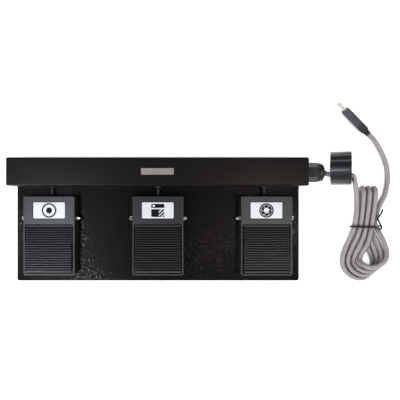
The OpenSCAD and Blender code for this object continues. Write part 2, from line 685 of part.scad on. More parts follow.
module treadle(x) {
    boss_y = -(spring_ahead * cos(press_angle) + (under_at_spring - pivot_z) * sin(press_angle)) + 0.6;
    color([0.22, 0.22, 0.23]) translate([x, pivot_y, pivot_z]) rotate([-press_angle, 0, 0]) difference() {
        union() {
            along_x(treadle_w) treadle_section();
            for (s = [-1, 1]) translate([s * (treadle_w - skirt_t) / 2, 0, 0]) along_x(skirt_t) treadle_side();
            for (s = [-1, 1]) translate([s * 15 - 0.8, treadle_front + 1, treadle_under - 3.4])
                cube([1.6, -22 - treadle_front - 1, 4]);
            translate([0, boss_y, treadle_under - 2]) cylinder(r = spring_r - spring_wire_d / 2 - 0.9, h = 3);
        }
        rotate([0, 90, 0]) cylinder(r = pin_d / 2 + pin_fit, h = treadle_w + 2, center = true);
    }
}
module pin_head() {
    cylinder(d = pin_head_d, h = pin_head_h * 0.5);
    translate([0, 0, pin_head_h * 0.5])
        cylinder(d1 = pin_head_d, d2 = pin_head_d * 0.62, h = pin_head_h * 0.5);
}
module pivot_pin(x) {
    seat = 0.1;
    color([0.8, 0.8, 0.82]) translate([x - pedal_w / 2 - seat, pivot_y, pivot_z]) {
        rotate([0, 90, 0]) cylinder(d = pin_d, h = pedal_w + 2 * seat + pin_head_h * 0.5);
        rotate([0, -90, 0]) pin_head();
    }
}
module pivot_caps() {
    color([0.8, 0.8, 0.82]) at_pedals() translate([pedal_w / 2 + 0.1, pivot_y, pivot_z]) rotate([0, 90, 0])
        difference() {
            pin_head();
            translate([0, 0, -1]) cylinder(r = pin_d / 2 + screw_fit, h = pin_head_h * 0.5 + 1.1);
        }
}
// Return spring: one wire, wound upwards, its end turns closed
module spring(x) {
    rings = 8 * spring_turns;
    low = floor_top + spring_wire_d / 2 + 0.05;
    high = spring_top - spring_wire_d / 2;
    p = [
        for (i = [0:rings]) let (a = 45 * i, rise = ease(-0.35, 1.35, i / rings))
        let (part = (rise - ease(-0.35, 1.35, 0)) / (ease(-0.35, 1.35, 1) - ease(-0.35, 1.35, 0)))
        [x + spring_r * cos(a), spring_y + spring_r * sin(a), low + (high - low) * part]
    ];
    color([0.72, 0.73, 0.75]) tube(p, spring_wire_d / 2, 6);
}
// Microswitch with its two fixing holes and the bore that guides the plunger
plunger_bore = 6.5;
module microswitch(x) {
    color([0.1, 0.1, 0.11]) translate([x + switch_x, plunger_y, switch_top - switch_h]) difference() {
        rotate([90, 0, 0]) linear_extrude(switch_t, center = true) difference() {
            translate([0, switch_h / 2]) rounded(switch_w, switch_h, 0.8);
            translate([switch_w / 2, switch_h]) rotate(45) square(2.4, center = true);
        }
        for (s = [-1, 1]) translate([s * switch_hole_pitch / 2, 0, 2.9]) rotate([90, 0, 0])
            cylinder(r = small_screw_r + screw_fit, h = switch_t + 2, center = true);
        translate([-switch_x, 0, switch_h - plunger_bore])
            cylinder(r = plunger_d / 2 + 0.08, h = plunger_bore + 1);
    }
}
module plunger(x) {
    depth = 4.4;
    color([0.75, 0.12, 0.1]) translate([x, plunger_y, plunger_top]) {
        translate([0, 0, -plunger_out - depth]) cylinder(d = plunger_d, h = plunger_out + depth - 0.5);
        translate([0, 0, -0.5]) cylinder(d1 = plunger_d, d2 = plunger_d - 1, h = 0.5);
    }
}
module switch_screws() {
    color([0.72, 0.72, 0.74]) at_pedals() for (s = [-1, 1])
        translate([switch_x + s * switch_hole_pitch / 2, plunger_y - switch_t / 2, switch_hole_z])
            rotate([90, 0, 0]) pan_screw(small_screw_r, switch_t + bracket_t + 1, 2.1, 1.4);
}
terminal_x = [-5.6, 0, 5.6];
terminal_w = 3.2;
module switch_terminals() {
    drop = 3.6;
    color([0.82, 0.66, 0.3]) at_pedals() for (dx = terminal_x)
        translate([switch_x + dx - terminal_w / 2, plunger_y - 0.25, switch_top - switch_h - drop])
            cube([terminal_w, 0.5, drop]);
}
module label(x) {
    color([0.94, 0.95, 0.97]) translate([x, label_y, label_z])
        linear_extrude(label_t) rounded(label_w, label_l, 1.2);
}
// Cable of a pedal, from inside the foot switch through both walls to its terminals, with its two wires
module pedal_cable(x, inside) {
    r = pedal_cable_d / 2;
    start = pedal_rear_y - 20;
    terminal_z = switch_top - switch_h - 1.8;
    color([0.08, 0.08, 0.085]) {
        translate([x, start, cable_z]) rotate([-90, 0, 0])
            cylinder(r = r, h = cover_front_y + sheet_t + 4 - start);
        tube(concat([for (y = [4, 6]) [x, cover_front_y + sheet_t + y, cable_z]], inside), r, 8);
    }
    color([0.7, 0.1, 0.1]) for (s = [0, 1]) let (tx = x + switch_x + terminal_x[s])
        tube(concat([for (y = [0, 3]) [x + s * 2 - 1, start - y, cable_z]],
                    [for (y = [8, 2, 0.25]) [tx, plunger_y + y, terminal_z]]), 0.6, 6);
}
mid = cover_mid_y;
low_z = plate_top + pedal_cable_d / 2 + 0.1;
left_run = [
    [pedal_x[0] + 1, mid - 8.5, cable_z - 0.2], [pedal_x[0] + 5, mid - 4.8, cable_z - 0.7],
    [pedal_x[0] + 13, mid - 3.2, cable_z - 1.5], [pedal_x[0] + 31, mid - 3, low_z + 0.4],
    [pedal_x[0] + 61, mid - 2.6, low_z], [pedal_x[0] + 101, mid - 1, low_z],
    [board_left - 40, mid + 2.5, low_z + 0.8], [board_left - 22, mid + 5, cable_z + 1],
    [board_left - 12, mid + 6, wire_z - 2], [board_left - 4, mid + 6, wire_z],
    [board_left + 0.5, mid + 6, wire_z]
];
middle_run = [
    [0.8, mid - 9, cable_z + 0.5], [4, mid - 6.2, cable_z + 2.1], [board_left - 14, mid - 5, wire_z - 2],
    [board_left - 7, mid - 5, wire_z], [board_left + 0.5, mid - 5, wire_z]
];
right_run = [
    [pedal_x[2] - 1, mid - 9, cable_z + 0.3], [pedal_x[2] - 5, mid - 6.1, cable_z + 1.5],
    [pedal_x[2] - 12, mid - 5.5, wire_z - 2.4], [board_right + 6, mid - 5.5, wire_z],
    [board_right - 0.5, mid - 5.5, wire_z]
];

// Cable gland, along the cord's axis
module at_gland() { translate([gland_wall_x, gland_y, gland_z]) rotate([0, 90, 0]) children(); }
module gland_body() {
    color([0.1, 0.1, 0.1]) at_gland() difference() {
        union() {
            translate([0, 0, -gland_in]) cylinder(d = gland_thread_d, h = gland_in + 1);
            linear_extrude(1.6) circle(d = gland_af / cos(30) - 0.4);
            translate([0, 0, 1.6]) linear_extrude(gland_hex - 1.6) rotate(30) hexagon(gland_af);
            cylinder(r = gland_spigot_r, h = gland_hex + gland_spigot);
        }
        translate([0, 0, -gland_in - 1])
            cylinder(r = gland_bore_r, h = gland_in + gland_hex + gland_spigot + 2);
    }
}
module gland_seal() {
    from = gland_hex + gland_spigot + 0.1;
    color([0.06, 0.06, 0.06]) at_gland() translate([0, 0, from]) difference() {
        cylinder(r1 = seal_r, r2 = seal_tip_r, h = seal_l);
        translate([0, 0, -1]) cylinder(r = cord_r + screw_fit, h = seal_l + 2);
    }
}
module gland_dome_nut() {
    start = gland_hex + gland_nut_gap;
    color([0.09, 0.09, 0.09]) at_gland() difference() {
        translate([0, 0, start]) {
            linear_extrude(gland_nut_hex) rotate(30) hexagon(gland_af);
            translate([0, 0, gland_nut_hex]) rotate_extrude() polygon([
                [0, 0], [gland_dome_r, 0], for (a = [0:9:90])
                [gland_dome_r - gland_dome_in * (1 - cos(a)), gland_dome * (0.35 + 0.65 * sin(a))],
                [0, gland_dome]
            ]);
        }
        translate([0, 0, start - 1]) cylinder(r = gland_spigot_r + 0.1, h = gland_spigot + 1.3);
        translate([0, 0, gland_hex + gland_spigot - 0.1]) 
            cylinder(r1 = seal_r + seal_fit, r2 = seal_tip_r + seal_fit, h = seal_l + 0.4);
        translate([0, 0, start]) cylinder(r = cord_r + 0.3, h = gland_nut_hex + gland_dome + 1);
    }
}
module gland_locknut() {
    color([0.1, 0.1, 0.1]) at_gland() translate([0, 0, -sheet_t - locknut_h - 0.1]) difference() {
        linear_extrude(locknut_h) hexagon(gland_af);
        translate([0, 0, -1]) cylinder(d = gland_thread_d + 0.1, h = locknut_h + 2);
    }
}
// USB cord: the stretch in the housing, then lead, hank and tail as one line
module usb_cord_inside() {
    header_face = board_right - 1;
    reach = gland_wall_x - gland_in - header_face;
    start_z = wire_z - 0.9;
    // Share of the reach, and share of the way across and up
    steps = [[0, 0], [0.11, 0], [0.29, 0.1], [0.48, 0.5], [0.67, 0.88], [0.89, 1], [1, 1]];
    color([0.6, 0.58, 0.58]) tube([
        for (k = steps) [header_face + k[0] * reach, header_y + k[1] * (gland_y - header_y),
                         start_z + k[1] * (gland_z - start_z)]
    ], cord_r, 8);
}
module usb_cord_lead() { color([0.62, 0.6, 0.6]) tube(cord_points, cord_r, 8, 0, hank_from); }
module usb_cord_hank() { color([0.62, 0.6, 0.6]) tube(cord_points, cord_r, 8, hank_from, hank_to); }
module usb_cord_tail() { color([0.62, 0.6, 0.6]) tube(cord_points, cord_r, 8, hank_to); }
module hank_tie() { color([0.07, 0.07, 0.07]) tube(tie_points, tie_wire_d / 2, 6); }
// Ferrite core on the cord, one rim on the floor
ferrite_tilt = 20;
ferrite_x = 238.5;
ferrite_y = 68.5;
ferrite_edge_r = 1;
module ferrite_core() {
    z = ferrite_d / 2 * cos(ferrite_tilt) + ferrite_l / 2 * sin(ferrite_tilt);
    color([0.12, 0.12, 0.125]) translate([ferrite_x, ferrite_y, z]) rotate([0, 90 - ferrite_tilt, 0])
        rotate_extrude() translate([(ferrite_d + ferrite_bore) / 4, 0])
            rounded((ferrite_d - ferrite_bore) / 2, ferrite_l, ferrite_edge_r);
}

// Plug, lying on its edge and leaning: its own X runs from the cord to the tip
usb_w = 12;
usb_h = 4.5;
usb_sheet = 0.3;
module at_plug() {
    translate([plug_place[0], plug_place[1], plug_z]) rotate([-plug_lean, 0, plug_turn]) children();
}
module plug_boot() {
    rib = boot_l / 4;
    color([0.1, 0.1, 0.105]) at_plug() rotate([0, 90, 0]) difference() {
        cylinder(r1 = cord_r + 0.4, r2 = cord_r + 1, h = boot_l);
        for (i = [0:2]) translate([0, 0, (i + 0.75) * rib]) rotate_extrude()
            translate([cord_r - 0.6, -rib / 5]) square([4, rib * 0.4]);
    }
}
module plug_body() {
    rib_pitch = 1.7;
    color([0.1, 0.1, 0.105]) at_plug() translate([boot_l, 0, 0]) difference() {
        intersection() {
            rotate([90, 0, 90]) linear_extrude(plug_l) rounded(plug_t, plug_w, plug_edge_r);
            translate([plug_l / 2, 0, -plug_w / 2 - 1]) linear_extrude(plug_w + 2)
                rounded(plug_l, plug_t, 1.2);
        }
        for (s = [-1, 1]) translate([plug_l * 0.42, s * (plug_t / 2), 0]) rotate([90, 0, 0])
            linear_extrude(0.8, center = true) rounded(plug_l * 0.5, plug_w * 0.55, 2);
        for (s = [-1, 1], i = [0:13]) translate([plug_l * 0.22 + i * rib_pitch, 0, s * plug_w / 2])
            cube([rib_pitch / 2, plug_t - 2 * plug_edge_r, 1], center = true);
        translate([plug_l - 6, -usb_h / 2 - 0.05, -usb_w / 2 - 0.05]) cube([7, usb_h + 0.1, usb_w + 0.1]);
        translate([plug_l - 2.4, 0, 0]) rotate([90, 0, 90]) linear_extrude(4) difference() {
            square([plug_t + 2, plug_w + 2], center = true);
            rounded(plug_t - 1, plug_w - 1, plug_edge_r);
        }
    }
}
module plug_shell() {
    back = 5.9;
    color([0.85, 0.82, 0.76]) at_plug() translate([boot_l + plug_l - back, 0, 0]) difference() {
        translate([0, -usb_h / 2, -usb_w / 2]) cube([usb_shell_l + back, usb_h, usb_w]);
        translate([-1, -usb_h / 2 + usb_sheet, -usb_w / 2 + usb_sheet])
            cube([usb_shell_l + back + 2, usb_h - 2 * usb_sheet, usb_w - 2 * usb_sheet]);
        for (s = [-1, 1]) translate([back + 5.2, -usb_h, s * 3.2 - 1.2]) cube([2.4, 2 * usb_h, 2.4]);
    }
}
module plug_insulator() {
    color([0.92, 0.92, 0.9]) at_plug()
        translate([boot_l + plug_l - 5.9, usb_sheet - usb_h / 2, usb_sheet - usb_w / 2])
            cube([usb_shell_l + 5.2, 1.9, usb_w - 2 * usb_sheet]);
}
module plug_contacts() {
    contact_pitch = 2.3;
    color([0.85, 0.68, 0.3]) at_plug() for (i = [-1.5:1.5])
        translate([boot_l + plug_l + 2, usb_sheet - usb_h / 2 + 1.9, i * contact_pitch - 0.5])
            cube([usb_shell_l - 4, 0.25, 1]);
}

base_plate();
rubber_feet();
housing_cover();
cover_screws();
nameplate();
encoder_board();
board_standoffs();
board_screws();
controller_chip();
terminal_blocks();
usb_header();
cable_grommets();
cable_bushes();
floor_screws();
pedal_screws();
switch_screws();
switch_terminals();
pivot_caps();
shell(pedal_x[0]);  // left_shell
shell(pedal_x[1]);  // middle_shell
shell(pedal_x[2]);  // right_shell
switch_floor(pedal_x[0]);  // left_floor
switch_floor(pedal_x[1]);  // middle_floor
switch_floor(pedal_x[2]);  // right_floor
treadle(pedal_x[0]);  // left_treadle
treadle(pedal_x[1]);  // middle_treadle
treadle(pedal_x[2]);  // right_treadle
pivot_pin(pedal_x[0]);  // left_pivot_pin
pivot_pin(pedal_x[1]);  // middle_pivot_pin
pivot_pin(pedal_x[2]);  // right_pivot_pin
spring(pedal_x[0]);  // left_spring
spring(pedal_x[1]);  // middle_spring
spring(pedal_x[2]);  // right_spring
microswitch(pedal_x[0]);  // left_switch
microswitch(pedal_x[1]);  // middle_switch
microswitch(pedal_x[2]);  // right_switch
plunger(pedal_x[0]);  // left_plunger
plunger(pedal_x[1]);  // middle_plunger
plunger(pedal_x[2]);  // right_plunger
label(pedal_x[0]);  // left_label
label(pedal_x[1]);  // middle_label
label(pedal_x[2]);  // right_label
pedal_cable(pedal_x[0], left_run);  // left_cable
pedal_cable(pedal_x[1], middle_run);  // middle_cable
pedal_cable(pedal_x[2], right_run);  // right_cable
gland_body();
gland_seal();
gland_dome_nut();
gland_locknut();
usb_cord_inside();
usb_cord_lead();
usb_cord_hank();
usb_cord_tail();
hank_tie();
ferrite_core();
plug_body();
plug_boot();
plug_shell();
plug_insulator();
plug_contacts();
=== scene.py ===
import math
import bpy
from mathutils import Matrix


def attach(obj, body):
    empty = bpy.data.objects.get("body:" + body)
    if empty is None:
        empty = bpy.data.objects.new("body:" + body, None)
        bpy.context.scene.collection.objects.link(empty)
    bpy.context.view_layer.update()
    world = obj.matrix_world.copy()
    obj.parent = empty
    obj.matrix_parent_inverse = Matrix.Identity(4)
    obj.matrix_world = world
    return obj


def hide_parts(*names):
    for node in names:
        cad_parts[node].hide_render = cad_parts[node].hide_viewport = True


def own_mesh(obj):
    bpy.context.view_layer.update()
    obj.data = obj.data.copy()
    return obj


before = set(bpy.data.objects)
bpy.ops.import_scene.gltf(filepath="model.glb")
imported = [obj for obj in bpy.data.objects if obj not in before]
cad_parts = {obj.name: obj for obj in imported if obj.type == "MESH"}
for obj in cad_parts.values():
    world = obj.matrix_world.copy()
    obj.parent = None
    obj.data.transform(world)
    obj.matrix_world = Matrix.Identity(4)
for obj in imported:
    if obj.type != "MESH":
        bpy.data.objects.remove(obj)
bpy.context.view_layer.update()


# The view: straight down from above the middle of the base, as the product picture was taken.
# The picture's middle lies right of the lens axis, so the camera is shifted to the right.
photo_width_px = 400
focal_px = 480
lens_axis_px = 167.5
sensor_mm = 36
bpy.ops.object.select_all(action="DESELECT")
bpy.ops.object.camera_add(location=(0.0126, 0.02715, 0.65), rotation=(0, 0, 0))
camera = bpy.context.object
camera.name = "view_from_above"
camera.data.sensor_width = sensor_mm
camera.data.lens = sensor_mm * focal_px / photo_width_px
camera.data.shift_x = (photo_width_px / 2 - lens_axis_px) / photo_width_px
camera.data.clip_start = 0.01
camera.data.clip_end = 20
bpy.context.scene.camera = camera
bpy.context.scene.view_settings.view_transform = "Standard"


# The table: a plain white sheet that keeps the object's soft shadow.
# Seen by the camera or in a reflection it is lifted to white, except in narrow gaps between pieces, where ambient
# occlusion cuts the lift back as painted shade; as a source of light it stays a pale surface.
def light_path_is_seen(nodes, links):
    path = nodes.new("ShaderNodeLightPath")
    first = nodes.new("ShaderNodeMath")
    first.operation = "MAXIMUM"
    links.new(path.outputs["Is Camera Ray"], first.inputs[0])
    links.new(path.outputs["Is Glossy Ray"], first.inputs[1])
    seen = nodes.new("ShaderNodeMath")
    seen.operation = "MAXIMUM"
    links.new(first.outputs[0], seen.inputs[0])
    links.new(path.outputs["Is Transmission Ray"], seen.inputs[1])
    return seen.outputs[0]


bpy.ops.object.select_all(action="DESELECT")
bpy.ops.mesh.primitive_plane_add(size=6, location=(0, 0, 0))
table = bpy.context.object
table.name = "white_table"
table_finish = bpy.data.materials.new("white_table")
table_finish.use_nodes = True
nodes, links = table_finish.node_tree.nodes, table_finish.node_tree.links
nodes.clear()
output = nodes.new("ShaderNodeOutputMaterial")
paper = nodes.new("ShaderNodeBsdfDiffuse")
paper.inputs["Color"].default_value = (0.86, 0.86, 0.86, 1)
lift = nodes.new("ShaderNodeEmission")
lift.inputs["Color"].default_value = (1, 1, 1, 1)
# Painted shade: ambient occlusion lowers the white lift in narrow gaps between pieces.
cover = nodes.new("ShaderNodeAmbientOcclusion")
cover.inputs["Distance"].default_value = 0.016
cover.samples = 8
gap_shade_lift = nodes.new("ShaderNodeMapRange")
gap_shade_lift.inputs["From Min"].default_value = 0.28
gap_shade_lift.inputs["From Max"].default_value = 0.5
gap_shade_lift.inputs["To Max"].default_value = 0.84
links.new(cover.outputs["AO"], gap_shade_lift.inputs["Value"])
links.new(gap_shade_lift.outputs["Result"], lift.inputs["Strength"])
lifted = nodes.new("ShaderNodeAddShader")
links.new(paper.outputs[0], lifted.inputs[0])
links.new(lift.outputs[0], lifted.inputs[1])
choose = nodes.new("ShaderNodeMixShader")
links.new(light_path_is_seen(nodes, links), choose.inputs[0])
links.new(paper.outputs[0], choose.inputs[1])
links.new(lifted.outputs[0], choose.inputs[2])
links.new(choose.outputs[0], output.inputs["Surface"])
table.data.materials.append(table_finish)


# The light: a large soft box in front on the left, a weaker one on the right and a strip behind the object.
# Two small ones overhead show as a sheen on the outer foot switches, two more as glints in the base's paint.
# The room is dark above and paler low down.
def soft_box(name, place, aim, size, power, tint=(1, 1, 1)):
    bpy.ops.object.select_all(action="DESELECT")
    bpy.ops.object.light_add(type="AREA", location=place)
    lamp = bpy.context.object
    lamp.name = name
    lamp.data.shape = "RECTANGLE"
    lamp.data.size, lamp.data.size_y = size
    lamp.data.energy = power
    lamp.data.color = tint
    way = [aim[i] - place[i] for i in range(3)]
    flat = math.hypot(way[0], way[1])
    lamp.rotation_euler = (math.atan2(flat, -way[2]), 0, math.atan2(way[1], way[0]) - math.pi / 2)


soft_box("soft_box_front", (-0.8, -0.8, 1.05), (0, 0, 0), (0.6, 0.6), 11.8)
soft_box("soft_box_right", (1.05, -0.25, 0.95), (0.1, 0, 0), (0.5, 0.5), 5.4, (1, 0.98, 0.95))
soft_box("strip_behind", (0.1, 1.1, 0.85), (0.1, 0.06, 0.02), (1.1, 0.08), 2)
soft_box("overhead_left", (-0.44, -0.1, 1.25), (-0.14, 0, 0.03), (0.2, 0.22), 2.2, (0.84, 0.87, 1))
soft_box("overhead_right", (0.4, -0.09, 1.25), (0.14, 0, 0.03), (0.2, 0.22), 1.4)
soft_box("glint_lamp_left", (-0.3, -0.3, 1.3), (-0.1, -0.08, 0), (0.24, 0.1), 1.2, (0.8, 0.9, 1))
soft_box("glint_lamp_right", (0.165, -0.196, 1.3), (0.063, -0.047, 0), (0.2, 0.18), 0.17, (1, 0.9, 0.8))
room = bpy.data.worlds.new("studio_room")
bpy.context.scene.world = room
room.use_nodes = True
nodes, links = room.node_tree.nodes, room.node_tree.links
nodes.clear()
output = nodes.new("ShaderNodeOutputWorld")
toward = nodes.new("ShaderNodeTexCoord")
parts = nodes.new("ShaderNodeSeparateXYZ")
links.new(toward.outputs["Generated"], parts.inputs[0])
height = nodes.new("ShaderNodeMapRange")
height.inputs["To Min"].default_value = 0.52
height.inputs["To Max"].default_value = 0.12
links.new(parts.outputs["Z"], height.inputs["Value"])
depth = nodes.new("ShaderNodeMapRange")
depth.inputs["From Min"].default_value = -0.8
depth.inputs["From Max"].default_value = 0.8
depth.inputs["To Min"].default_value = 1
depth.inputs["To Max"].default_value = 0.25
links.new(parts.outputs["Y"], depth.inputs["Value"])
level = nodes.new("ShaderNodeMath")
level.operation = "MULTIPLY"
links.new(height.outputs["Result"], level.inputs[0])
links.new(depth.outputs["Result"], level.inputs[1])
ambient = nodes.new("ShaderNodeBackground")
ambient.inputs["Color"].default_value = (1, 0.99, 0.98, 1)
links.new(level.outputs[0], ambient.inputs["Strength"])
backdrop = nodes.new("ShaderNodeBackground")
backdrop.inputs["Color"].default_value = (1, 1, 1, 1)
backdrop.inputs["Strength"].default_value = 1
camera_path = nodes.new("ShaderNodeLightPath")
choose = nodes.new("ShaderNodeMixShader")
links.new(camera_path.outputs["Is Camera Ray"], choose.inputs[0])
links.new(ambient.outputs[0], choose.inputs[1])
links.new(backdrop.outputs[0], choose.inputs[2])
links.new(choose.outputs[0], output.inputs["Surface"])


# USB cord: grey PVC jacket, one line from inside the gland through the ferrite core, four times round the
# tied hank and on to the plug. Each loop of the hank is shifted against the one before, station by station.
cord_diameter = 6.6
cord_radius = cord_diameter / 2
gland_inner_x, gland_mouth_x, gland_y, gland_z = 178.1, 215.2, 63.05, 24.0
lead_route = [
    (gland_inner_x, gland_y, gland_z), (190, gland_y, gland_z), (202, gland_y, gland_z), (210, gland_y, gland_z),
    (gland_mouth_x, gland_y, gland_z), (218.6, 61.8, 23.7), (222.5, 60.7, 23.4), (227, 60.4, 23.6),
    (239, 60.2, 25.2), (251.6, 59.4, 26.8), (255.6, 55, 25.2), (258.2, 48, 22.4), (260.2, 40.4, 19.8),
    (261.6, 32, 17.6), (262.4, 24, 16.4),
]
tail_route = [
    (291.8, 3, 4.4), (294, 9, cord_radius), (296.8, 16.6, cord_radius), (300.5, 24.2, cord_radius),
    (303.4, 29.6, cord_radius), (305.6, 34.7, cord_radius), (307.9, 45.1, cord_radius), (309, 54, cord_radius),
    (308.6, 65, cord_radius), (306.7, 75.6, 3.4), (302.6, 86.4, 3.8), (296.6, 97, 5.3), (290.5, 105.2, 7.4),
    (285.89, 109.99, 8.73), (281, 115, 8.73),
]
tie_lift = 2.6
hank_base = [
    (262.5, 34), (262.4, 12), (260.6, -8), (257.8, -21), (253.6, -33.5), (249.6, -45), (248, -54),
    (249, -62), (253.4, -69.5), (261.4, -75.6), (271.4, -78.4), (280.8, -75.6), (286.8, -68.6),
    (289.2, -60), (288.2, -50.5), (284.6, -40.5), (279, -30), (271.5, -17), (268.4, -7), (270.2, 12), (272.6, 34),
]
hank_shift = [
    (7.9, 0), (7.5, 0), (7.4, 0), (7.6, 0.3), (7.95, 0.6), (7.9, 0.9), (7.55, 1.4), (6.9, 2.9), (5.6, 4.6),
    (3.3, 5.7), (1.6, 5.8), (1.7, 5.3), (2.4, 4.9), (3.1, 4.1), (4, 3.3), (4.8, 3), (5.7, 2.8), (6.6, 2.8),
    (7.3, 1.3), (7.5, 0), (7.9, 0),
]
hank_rise = [
    [15.5, 12.2, 9.9, 4.7, 0.7, 0, 0, 0, 0, 0, 0, 0, 0, 0, 0, 0, 0, 1.7, tie_lift, 0, 0],
    [15.5, 12.2, 9.9, 7.7, 3.2, 0.6, 0.2, 0.3, 1.5, 3.4, 5.3, 6.8, 7.4, 6.8, 5.7, 4.7, 3.7, 2.6, tie_lift, 0, 0],
    [15.5, 12.2, 9.9, 9.7, 6.4, 2, 0.9, 1.3, 3.3, 6.9, 10.7, 13.7, 14.7, 13.5, 11.3, 9.3, 7.2, 3, tie_lift, 0, 0],
    [15.5, 12.2, 9.9, 10.3, 9.2, 4.8, 3, 4.2, 7.2, 12, 17, 20.8, 22.1, 20.1, 17, 14, 10.7, 5, tie_lift],
]


def curve_at(points, u):
    """The place on a smooth curve through the points, u counting points from the first."""
    i = min(len(points) - 2, max(0, math.floor(u)))
    t = u - i
    b, c = points[i], points[i + 1]
    a = points[i - 1] if i > 0 else [2 * q - r for q, r in zip(b, c)]
    d = points[i + 2] if i < len(points) - 2 else [2 * r - q for q, r in zip(b, c)]
    return [
        (2 * q + (r - p) * t + (2 * p - 5 * q + 4 * r - s) * t**2 + (3 * q - p - 3 * r + s) * t**3) / 2
        for p, q, r, s in zip(a, b, c, d)
    ]


def strand_point(n, i):
    (x, y), (along_x, along_y) = hank_base[i], hank_shift[i]
    return (x + n * along_x, y + n * along_y, cord_radius + hank_rise[n][i])


shoulder_y, crown_y, shoulder_drop = 41, 43.2, 5.4
cord_route = list(lead_route)
for n, rises in enumerate(hank_rise):
    cord_route += [strand_point(n, i) for i in range(0 if n else 1, len(rises))]
    if n < len(hank_rise) - 1:
        (x, _, low), (next_x, _, high) = strand_point(n, len(hank_base) - 1), strand_point(n + 1, 0)
        step, middle = (next_x - x) / 6, (low + high) / 2
        cord_route += [(x + step, shoulder_y, middle - shoulder_drop), (x + 3 * step, crown_y, middle),
                       (x + 5 * step, shoulder_y, middle + shoulder_drop)]
cord_route += tail_route


def round_line(name, splines, radius_mm, rings=4):
    """A round line through points in millimetres; each spline has its own share of the radius."""
    line = bpy.data.curves.new(name, "CURVE")
    line.dimensions = "3D"
    line.bevel_depth = radius_mm / 1000
    line.bevel_resolution = rings
    line.use_fill_caps = True
    for points, share in splines:
        spline = line.splines.new("POLY")
        spline.points.add(len(points) - 1)
        for point, place in zip(spline.points, points):
            point.co = (place[0] / 1000, place[1] / 1000, place[2] / 1000, 1)
            point.radius = share
        spline.use_smooth = True
    piece = bpy.data.objects.new(name, line)
    bpy.context.scene.collection.objects.link(piece)
    return piece


def smooth_route(points, steps, floor=None):
    """Finer points on a route, kept from sinking below the floor."""
    route = [curve_at(points, i / steps) for i in range((len(points) - 1) * steps + 1)]
    return [(x, y, max(z, floor)) if floor else (x, y, z) for x, y, z in route]


usb_cord = round_line("usb_cord", [(smooth_route(cord_route, 6, cord_radius), 1)], cord_radius, 6)


# A finish starts from the Principled shader and the piece's own coordinates in metres.
# The grain group gives a fine uneven height and a slow change of tone, each with its own size.
def new_finish(name, color, roughness, metallic=0.0):
    material = bpy.data.materials.new(name)
    material.use_nodes = True
    shader = material.node_tree.nodes["Principled BSDF"]
    shader.inputs["Base Color"].default_value = (*color, 1)
    shader.inputs["Roughness"].default_value = roughness
    shader.inputs["Metallic"].default_value = metallic
    return material, shader


grain = bpy.data.node_groups.new("surface_grain", "ShaderNodeTree")
for label, value in (("Grain Size", 1500), ("Patch Size", 40), ("Low", 0.9), ("High", 1.1)):
    grain.interface.new_socket(label, in_out="INPUT", socket_type="NodeSocketFloat").default_value = value
for label in ("Height", "Tone"):
    grain.interface.new_socket(label, in_out="OUTPUT", socket_type="NodeSocketFloat")
group_in, group_out = grain.nodes.new("NodeGroupInput"), grain.nodes.new("NodeGroupOutput")
place = grain.nodes.new("ShaderNodeTexCoord")
fine = grain.nodes.new("ShaderNodeTexNoise")
fine.inputs["Detail"].default_value = 3
patch = grain.nodes.new("ShaderNodeTexNoise")
patch.inputs["Detail"].default_value = 4
spread = grain.nodes.new("ShaderNodeMapRange")
for noise, size in ((fine, "Grain Size"), (patch, "Patch Size")):
    grain.links.new(place.outputs["Object"], noise.inputs["Vector"])
    grain.links.new(group_in.outputs[size], noise.inputs["Scale"])
grain.links.new(patch.outputs["Fac"], spread.inputs["Value"])
spread.inputs["From Min"].default_value = 0.3
spread.inputs["From Max"].default_value = 0.7
grain.links.new(group_in.outputs["Low"], spread.inputs["To Min"])
grain.links.new(group_in.outputs["High"], spread.inputs["To Max"])
grain.links.new(fine.outputs["Fac"], group_out.inputs["Height"])
grain.links.new(spread.outputs["Result"], group_out.inputs["Tone"])


def add_grain(material, shader, grain_size, patch_size, low, high, bump, depth, rough_spread=0.0):
    """Puts the grain into a finish: uneven tone in its colour, fine bump, and a little in its roughness."""
    nodes, links = material.node_tree.nodes, material.node_tree.links
    effect = nodes.new("ShaderNodeGroup")
    effect.node_tree = grain
    for socket, value in (("Grain Size", grain_size), ("Patch Size", patch_size), ("Low", low), ("High", high)):
        effect.inputs[socket].default_value = value
    tone = nodes.new("ShaderNodeMix")
    tone.data_type = "RGBA"
    tone.blend_type = "MULTIPLY"
    tone.inputs["Factor"].default_value = 1
    tone.inputs["A"].default_value = shader.inputs["Base Color"].default_value
    links.new(effect.outputs["Tone"], tone.inputs["B"])
    links.new(tone.outputs["Result"], shader.inputs["Base Color"])
    raised = nodes.new("ShaderNodeBump")
    raised.inputs["Strength"].default_value = bump
    raised.inputs["Distance"].default_value = depth
    links.new(effect.outputs["Height"], raised.inputs["Height"])
    links.new(raised.outputs["Normal"], shader.inputs["Normal"])
    if rough_spread:
        wear_and_shade_range = nodes.new("ShaderNodeMapRange")
        middle = shader.inputs["Roughness"].default_value
        wear_and_shade_range.inputs["From Min"].default_value = 0.3
        wear_and_shade_range.inputs["From Max"].default_value = 0.7
        wear_and_shade_range.inputs["To Min"].default_value = middle - rough_spread
        wear_and_shade_range.inputs["To Max"].default_value = middle + rough_spread
        links.new(effect.outputs["Height"], wear_and_shade_range.inputs["Value"])
        links.new(wear_and_shade_range.outputs["Result"], shader.inputs["Roughness"])
    return effect


def dress(names, material):
    for name in names:
        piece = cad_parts[name]
        piece.data.materials.clear()
        piece.data.materials.append(material)


